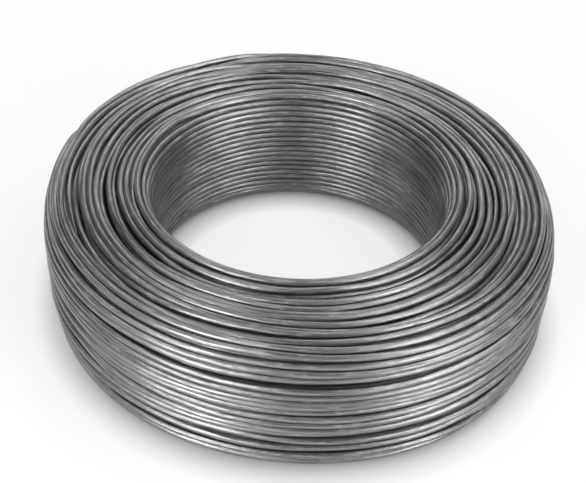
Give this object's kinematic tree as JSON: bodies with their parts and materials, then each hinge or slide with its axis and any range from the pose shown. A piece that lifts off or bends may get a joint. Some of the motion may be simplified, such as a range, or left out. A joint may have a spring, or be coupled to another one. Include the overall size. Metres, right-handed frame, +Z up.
{
  "type": "electrical wire coil",
  "caption": "Flat-lying coil of insulated single-core electrical wire with an open bore, its turns showing on the ends, outside and bore.",
  "frame": {"origin": "on the coil's axis at the floor it lies on", "axes": "+Z up along the bore axis; X and Y lie in the floor and are alike, because the coil is round"},
  "size_m": [0.2, 0.2, 0.052],
  "materials": {
    "insulation": "satin"
  },
  "bodies": {
    "root": {"wire_coil": "insulation"}
  },
  "joints": []
}
